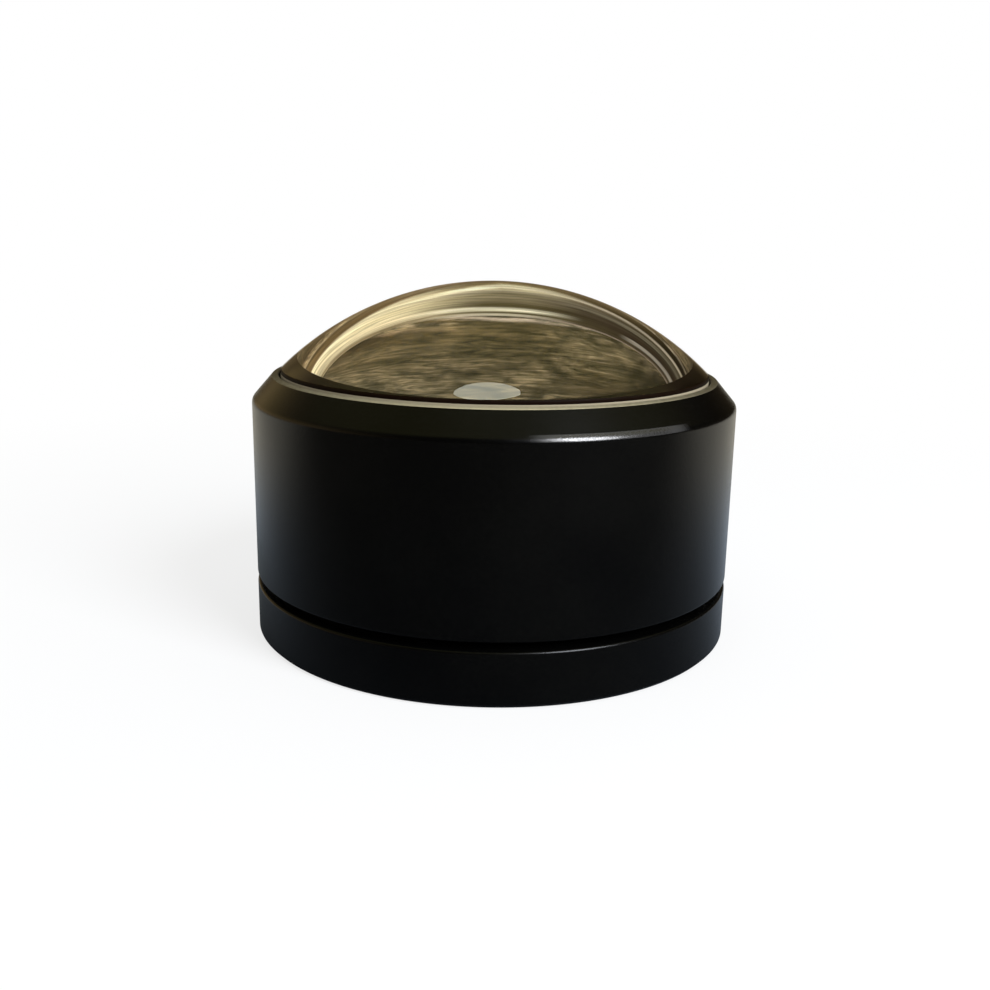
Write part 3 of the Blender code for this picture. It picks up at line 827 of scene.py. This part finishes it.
def makeDustSeal(shape):
    low, high = heights("dust_seal")
    section = (high - low) / 2
    centre = outerRadius("dust_seal") - section
    middle = (low + high) / 2
    outline = [(centre + x, middle - y) for x, y in around(shape["sides"], section)]
    place(turned("dustSeal", outline, edge=0), "base", "dust_seal", "nitrile")


retainerShapes = {
    # node: (body, slot, bore radius or None for a cone, slotted face, half length of the slots)
    "barrel_retainer": ("base", "black_anodised", 27.4, "top", 33.0),
    "cell_retainer": ("barrel", "black_anodised", 26.0, "bottom", 33.0),
    "rear_lens_retainer": ("barrel", "matt_black", None, "top", 12.0),
    "mirror_retainer": ("mirror_carriage", "matt_black", 10.4, "top", 12.0),
}
spanner = {"width": 1.8, "depth": 0.8}


def boresOf(node):
    # The cone through a ring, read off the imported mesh: its smallest radius at each face
    points = [vertex.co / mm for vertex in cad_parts[node].data.vertices]
    return [
        min(point.xy.length for point in points if abs(point.z - level) < 0.01)
        for level in heights(node)
    ]


def makeRetainers(shapes):
    for node, (body, slot, bore, face, reach) in shapes.items():
        low, high = heights(node)
        outer = outerRadius(node)
        boreLow, boreHigh = (bore, bore) if bore else boresOf(node)
        outline = [(outer, high), (outer, low), (boreLow, low), (boreHigh, high)]
        # The barrel's ring is threaded inside and the others outside
        inside = node == "barrel_retainer"
        wall, depth = (bore, ringThreadDepth) if inside else (outer, -ringThreadDepth)
        thread = (wall, low + 0.1, high - 0.1, depth, finePitch)
        ring = turned(pieceName(node), outline, edge=0.08, threads=[thread])
        size = (2 * reach, spanner["width"], 2 * spanner["depth"])
        cutAway(ring, [boxTool(size, (0, 0, high if face == "top" else low))])
        place(ring, body, node, slot)


tubeShape = {"outer": 31.2, "inner": 29.3, "ridgePitch": 0.8, "ridgeDepth": 0.5, "plainEnd": 0.3}


def makeSpacerTube(shape):
    # The tube is ridged inside so that no light glances off it
    low, high = heights("spacer_tube")
    inner, pitch = shape["inner"], shape["ridgePitch"]
    outline = [(shape["outer"], high), (shape["outer"], low), (inner, low)]
    ridges = int((high - low - 2 * shape["plainEnd"]) / pitch)
    start = (low + high - ridges * pitch) / 2
    for i in range(ridges):
        foot = start + i * pitch
        outline += [(inner, foot, 0.0), (inner + shape["ridgeDepth"], foot + pitch * 0.5, 0.0)]
    outline += [(inner, start + ridges * pitch, 0.0), (inner, high)]
    place(turned("spacerTube", outline, edge=0.12), "barrel", "spacer_tube", "matt_black")


makeRings(ringPieces)
makeDustSeal(sealShape)
makeRetainers(retainerShapes)
makeSpacerTube(tubeShape)
print("rings and retainers built")

# Base plate, screws, socket and pins

pinRadii = {"guide_pin_1": 1.0, "guide_pin_2": 1.0, "guide_pin_3": 1.0, "stop_pin": 1.2}
plateShape = {
    "radius": 30.0, "socketFlange": 11.2, "socketOuter": 9.7, "socketStep": 1.8,
    "screwHole": 1.6,
    "countersink": (3.1, 1.5),  # its radius and depth
    "pinDepth": 3.0,
    "pinRoom": 0.3,  # round each pin
}


def makeBasePlate(shape):
    low, high = heights("base_plate")
    outline = stepped(
        high, (shape["radius"], 0.2), (low, 0.3), (shape["socketFlange"], 0.15),
        low + shape["socketStep"], shape["socketOuter"], high,
    )
    plate = turned("basePlate", outline)
    tools = []
    bore, over = shape["screwHole"], 0.5
    wide, deep = shape["countersink"]
    for x, y in screwPlaces:
        tools.append(barTool(wide + over, bore, deep + over, (x, y, low - over), 48))
        tools.append(barTool(bore, bore, 6.0, (x, y, low - 1.0), 48))
    for node, radius in pinRadii.items():
        bore = radius + shape["pinRoom"]
        tools.append(barTool(bore, bore, 4.0, (*middleOf(node), high - shape["pinDepth"]), 32))
    cutAway(plate, tools)
    place(plate, "base", "base_plate", "matt_black")


screwShape = {
    "radius": 1.3, "head": 2.8, "headDepth": 1.5, "headEdge": 0.12,
    "key": 2.0,  # across its corners
    "keyDepth": 1.0, "pitch": 0.45, "threadDepth": 0.24,
}


def makePlateScrews(shape):
    low, high = heights("plate_screw_1")
    radius, neck, edge = shape["radius"], low + shape["headDepth"], shape["headEdge"]
    outline = [(0.0, high, 0), (radius, high, 0.25), (radius, neck, 0.0)]
    head = shape["head"] - edge
    outline += [(head, low + edge, 0.08), (head, low, 0.06), (0.0, low, 0)]
    thread = (radius, neck + 0.2, high - 0.1, -shape["threadDepth"], shape["pitch"])
    key, deep = shape["key"] / 2, shape["keyDepth"]
    for i, spot in enumerate(screwPlaces):
        screw = turned(f"plateScrew_{i + 1}", outline, 48, closed=False, threads=[thread])
        # A hexagon socket, the lead into it and the cone that its drill left at the bottom
        hexagon = barTool(key, key, 2 * deep, (0, 0, low - deep), 6)
        lead = barTool(1.35, 0.7, 0.65, (0, 0, low - 0.3), 48)
        drill = barTool(0.82, 0.0, 0.4, (0, 0, low + deep - 0.02), 24)
        cutAway(screw, [hexagon, lead, drill])
        place(screw, "base", f"plate_screw_{i + 1}", "black_oxide", spot)


socketShape = {
    "minor": 6.8, "threadDepth": 1.13,
    "pitch": 25.4 / 11,  # eleven turns to the inch
    "outer": 9.4, "flange": 10.9, "flangeThickness": 1.5, "web": 0.8, "chamfer": 0.6,
}


def makeSocket(shape):
    low, high = heights("thread_bush")
    minor, chamfer, floor = shape["minor"], shape["chamfer"], high - shape["web"]
    outline = [(0.0, high, 0)]
    outline += stepped(
        high, (shape["outer"], 0.3), low + shape["flangeThickness"], (shape["flange"], 0.15),
        (low, 0.25), (minor + chamfer, 0.0),
    )
    outline += stepped(low + chamfer, (minor, 0.0), (floor, 0.0), (0.0, 0))
    thread = (minor, low + chamfer - 0.3, floor - 0.1, shape["threadDepth"], shape["pitch"])
    bush = turned("threadBush", outline, closed=False, threads=[thread])
    place(bush, "base", "thread_bush", "brass")


def makePins(radii):
    for node, radius in radii.items():
        low, high = heights(node)
        end = radius / 3
        outline = [
            (0.0, high, 0),
            (radius - end, high, 0.12),
            (radius, high - end, 0.12),
            (radius, low, 0.15),
            (0.0, low, 0),
        ]
        pin = turned(node.replace("_pin", "Pin"), outline, 64, closed=False)
        place(pin, "base", node, "steel", middleOf(node))


springShape = {"inner": 11.6, "outer": 13.6, "wire": 0.4, "lobes": 4}


def makeWaveSpring(shape):
    low, high = heights("wave_spring")
    wave = (high - low - shape["wire"]) / 2
    outline = ringOutline(shape["outer"], shape["inner"], low, low + shape["wire"])
    spring = turned("waveSpring", outline, 256, edge=0.1)
    for vertex in spring.data.vertices:
        angle = math.atan2(vertex.co.y, vertex.co.x)
        vertex.co.z += wave * mm * (1 - math.cos(shape["lobes"] * angle))
    place(spring, "base", "wave_spring", "steel")


makeBasePlate(plateShape)
makePlateScrews(screwShape)
makeSocket(socketShape)
makePins(pinRadii)
makeWaveSpring(springShape)
print("base plate and fittings built")

# Rear lens cell and the mirror carriage

helicoid = {"depth": 0.3, "pitch": 1.0}  # the focusing thread, cut into both cells
cellShape = {
    "outer": 31.2, "flange": 3.9, "skirtOuter": 21.0, "skirtBore": 18.6, "pocket": 9.8,
    "opening": 8.1, "ledge": 1.2, "threadBore": 12.1, "hub": 13.5, "lugHeight": 3.0,
    "lugFace": 17.5,  # the lug is what is left of the skirt beyond this flat
    "gap": 0.3,  # mm of room behind the lens and its ring
}


def makeRearCell(shape):
    low, high = heights("rear_lens_cell")
    bottom = heights("rear_lens")[0] - shape["ledge"] - shape["gap"]
    ringSeat = heights("rear_lens_retainer")[0] - shape["gap"]
    lugTop = low + shape["lugHeight"]
    outline = stepped(
        high, (shape["hub"], 0.2), (bottom + shape["flange"], 0.3),
        (shape["outer"], 0.2), (bottom, 0.2), (shape["skirtOuter"], 0.3), (low, 0.2),
        (shape["skirtBore"], 0.1), (bottom, 0.1), (shape["opening"], 0.3),
        (bottom + shape["ledge"], 0.1), (shape["pocket"], 0.05), (ringSeat, 0.05),
        (shape["threadBore"], 0.05), (high, 0.1),
    )
    threads = [
        (shape["skirtBore"], lugTop + 0.2, bottom - 0.4, helicoid["depth"], helicoid["pitch"]),
        (shape["threadBore"], ringSeat, high - 0.2, ringThreadDepth, finePitch),
    ]
    cell = turned("rearLensCell", outline, threads=threads)
    # Below the skirt only the lug on one side is kept
    over = 2 * shape["skirtOuter"]
    reach = shape["lugFace"] + over
    size = (reach, 2 * over, 2 * shape["lugHeight"])
    cutAway(cell, [boxTool(size, (shape["lugFace"] - reach / 2, 0, lugTop - shape["lugHeight"]))])
    place(cell, "barrel", "rear_lens_cell", "matt_black")


carriageShape = {
    "radius": 18.2, "opening": 9.0, "floor": 0.8, "pocket": 12.3, "bushCircle": 15.4,
    "bushHole": 2.0, "bushRadius": 1.7, "bushBore": 1.3,
}


def makeMirrorCell(shape):
    low, high = heights("mirror_cell")
    retainerLow = heights("mirror_retainer")[0]
    outline = stepped(
        high, (shape["radius"], 0.3), (low, 0.3), (shape["opening"], 0.2),
        (low + shape["floor"], 0.2), (shape["pocket"], 0.1), (high, 0.1),
    )
    threads = [
        (shape["radius"], low + 0.4, high - 0.4, -helicoid["depth"], helicoid["pitch"]),
        (shape["pocket"], retainerLow, high - 0.2, ringThreadDepth, finePitch),
    ]
    cell = turned("mirrorCell", outline, threads=threads)
    spots = around(3, shape["bushCircle"])
    hole = shape["bushHole"]
    cutAway(cell, [barTool(hole, hole, high - low + 2.0, (*spot, low - 1.0), 48) for spot in spots])
    place(cell, "mirror_carriage", "mirror_cell", "matt_black")
    outline = ringOutline(shape["bushRadius"], shape["bushBore"], low, high)
    for i, spot in enumerate(spots):
        bush = turned(f"guideBush_{i + 1}", outline, 64, edge=0.1)
        place(bush, "mirror_carriage", f"guide_bush_{i + 1}", "bronze", spot)


rearLensShape = {"curve": 12.28, "radius": 9.5, "edgeRound": 0.15, "steps": 64}
mirrorShape = {
    "curve": 24.0, "radius": 12.0,
    "middle": 1.4,  # mm of glass behind the bottom of the hollow
    "edgeRound": 0.15, "steps": 64,
}


def makeCurved(name, shape, body, node, slot):
    # A domed lens, or a hollow mirror where its shape gives a middle
    low, high = heights(node)
    radius, edge = shape["radius"], shape["edgeRound"]
    base, way = (low + shape["middle"], 1) if "middle" in shape else (high, -1)
    arc = arcPoints(shape["curve"], radius, shape["steps"])
    face = [(out, base + way * drop, 0) for out, drop in arc]
    outline = face[:-1] + [face[-1][:2] + (edge,), (radius, low, edge), (0.0, low, 0)]
    place(turned(name, outline, 160, closed=False, edge=0), body, node, slot)


makeRearCell(cellShape)
makeMirrorCell(carriageShape)
makeCurved("rearLens", rearLensShape, "barrel", "rear_lens", "rear_glass")
makeCurved("primaryMirror", mirrorShape, "mirror_carriage", "mirror", "copper_mirror")
print("lenses and mirror built")

# Studio

studio = {
    "floorSize": 3.0,
    "gap": 0.00002,  # keeps the paper off the piece's lower face
    "floor": "#f4f4f2",
    "lift": 0.75,  # share of plain white that the camera sees on the paper beside the piece
    "fill": 0.5,  # the room's own light on matt surfaces
    "through": 2.2,  # the room's light on what lies behind glass
    "near": 0.1,  # how bright mirrored surroundings are on the camera's side
    # Where the surroundings brighten again, as the depth of a direction and metres on the floor
    "nearRoom": (-0.9, 0.1),
    "nearFloor": (-0.055, 0.06),
    "ceiling": (0.78, 0.9),  # heights of a direction where the lit ceiling begins
    # How bright the room is low down on each side, between two shares of the way round
    "beside": [(-0.2, -0.35, 0.75), (-0.46, -0.6, 3.2), (0.15, 0.45, 0.15)],
    "lowDown": (0.6, 0.4),
    "sweep": (0.06, 0.22),  # metres out between which the paper turns to plain white
    "paper": ("#a9b4bf", "#d6cfbd"),  # mirrored floor, with painted light: cool close to the piece and warm further off
    "paperSpan": (0.06, 0.18),
    # Colours by the sine of the height above the horizon
    "room": [
        (0.0, "#7e6c50"), (0.15, "#806e4c"), (0.3, "#685a3a"),
        (0.5, "#4c422f"), (0.8, "#8a8752"), (1.0, "#8a8752"),
    ],
    "lamps": {
        "windowLamp": {
            "place": (0.6, -0.6, 0.62), "size": (0.5, 0.7), "power": 13.0, "colour": "#f2f6ff",
        },
        "overheadLamp": {
            "place": (-0.04, -0.08, 1.1), "size": (0.375, 0.143), "power": 0.62,
            "colour": "#f8fff0", "flat": True,
        },
    },
}


def makeWorld(settings):
    # A white backdrop stands round the piece; above it and on the near side the room is dim and
    # warm, which only what has been mirrored shows
    world = bpy.data.worlds.new("room")
    scene.world = world
    world.use_nodes = True
    world.node_tree.nodes.clear()
    add = partial(addNode, world.node_tree)
    x, y, z = add("SeparateXYZ", [add("TexCoord", output="Generated")]).node.outputs
    height = add("Math", [z, 0.0], "MAXIMUM")
    room = add("ValToRGB", [height], stops=settings["room"])
    span = [y, *settings["nearRoom"], settings["near"], 1.0]
    near = add("MapRange", span, interpolation_type="SMOOTHSTEP")
    # The ceiling on the near side is lit too
    near = add("Mix", {0: mask(add, (z, *settings["ceiling"])), 2: near, 3: 1.0})
    for start, end, share in settings["beside"]:
        beside = mask(add, (x, start, end), (z, *settings["lowDown"]))
        share = add("MapRange", [beside, 0, 1, 1, share])
        near = add("Math", [near, share], "MULTIPLY")
    rays = add("LightPath").node.outputs
    glossyBefore = add("Math", [rays["Glossy Depth"], 0.5], "GREATER_THAN")
    glossy = add("Math", [rays["Is Glossy Ray"], glossyBefore], "MAXIMUM")
    # Light that a matt surface gathers is the plain fill or the white backdrop, however it came
    gathering = add("Math", [rays["Diffuse Depth"], 0.5], "GREATER_THAN")
    mirrored = add("Math", [glossy, gathering], "SUBTRACT", use_clamp=True)
    passing = rays["Is Transmission Ray"]
    direct = add("Math", [rays["Is Camera Ray"], passing], "MAXIMUM")
    gathered = add("Math", [passing, gathering], "MULTIPLY")
    through = add("MapRange", [gathered, 0, 1, 1, settings["through"]])
    plain = (1, 1, 1, 1)
    fill = add("Background", [plain, settings["fill"]])
    seen = add("Background", [room, near])
    white = add("Background", [plain, through])
    outer = add("MixShader", [direct, fill, white])
    outer = add("MixShader", [mirrored, outer, seen])
    add("OutputWorld", [outer])


def makeFloor(settings):
    work = bmesh.new()
    bmesh.ops.create_grid(work, x_segments=2, y_segments=2, size=settings["floorSize"])
    floor = objectFrom(work, "floor")
    colour = linear(settings["floor"])
    material, shader, add = newMaterial("paper_matt", {"Roughness": 0.9, "Specular IOR Level": 0.2})
    # The sweep keeps the shadow near the piece and turns to plain backdrop white further out
    at = objectCoords(add)
    away = mask(add, (at["radius"], *settings["sweep"]))
    rays = add("LightPath").node.outputs
    camera = add("Math", [rays["Is Camera Ray"], rays["Is Transmission Ray"]], "MAXIMUM")
    white = add("Emission", {"Strength": 1.0})
    # On the near side the room gives the paper less light, which only a mirrored ray shows
    depth = add("SeparateXYZ", [at["point"]], output="Y")
    span = [depth, *settings["nearFloor"], settings["near"], 1.0]
    shade = add("MapRange", span, interpolation_type="SMOOTHSTEP")
    cool, warm = (linear(tone) for tone in settings["paper"])
    mirrored = paintOver(add, cool, (mask(add, (at["radius"], *settings["paperSpan"])), warm))
    mirrored = add("VectorMath", {0: mirrored, "Scale": shade}, "SCALE")
    feed(shader, {"Base Color": paintOver(add, colour, (rays["Is Glossy Ray"], mirrored))})
    lift = add("MapRange", [away, 0, 1, settings["lift"], 1])
    lift = add("Math", [lift, camera], "MULTIPLY")
    paper = add("MixShader", [lift, shader.outputs[0], white])
    # From below the paper isn't there, so that the underside is lit and can be seen
    facing = add("NewGeometry", output="Backfacing")
    below = add("Math", [facing, rays["Transparent Depth"]], "MAXIMUM")
    paper = add("MixShader", [below, paper, add("BsdfTransparent")])
    feed(material.node_tree.nodes["Material Output"], {"Surface": paper})
    floor.data.materials.append(material)
    floor.location.z = -settings["gap"]


def makeLamps(settings):
    for name, lamp in settings["lamps"].items():
        data = bpy.data.lights.new(name, "AREA")
        data.shape = "ELLIPSE"
        data.size, data.size_y = lamp["size"]
        data.energy = lamp["power"]
        data.color = linear(lamp["colour"])[:3]
        obj = newObject(name, data)
        obj.location = lamp["place"]
        if not lamp.get("flat"):
            aim = Vector((0, 0, 0.02)) - obj.location
            obj.rotation_euler = aim.to_track_quat("-Z", "Y").to_euler()


makeWorld(studio)
makeFloor(studio)
makeLamps(studio)
scene.view_settings.view_transform = "Standard"
print("studio ready")
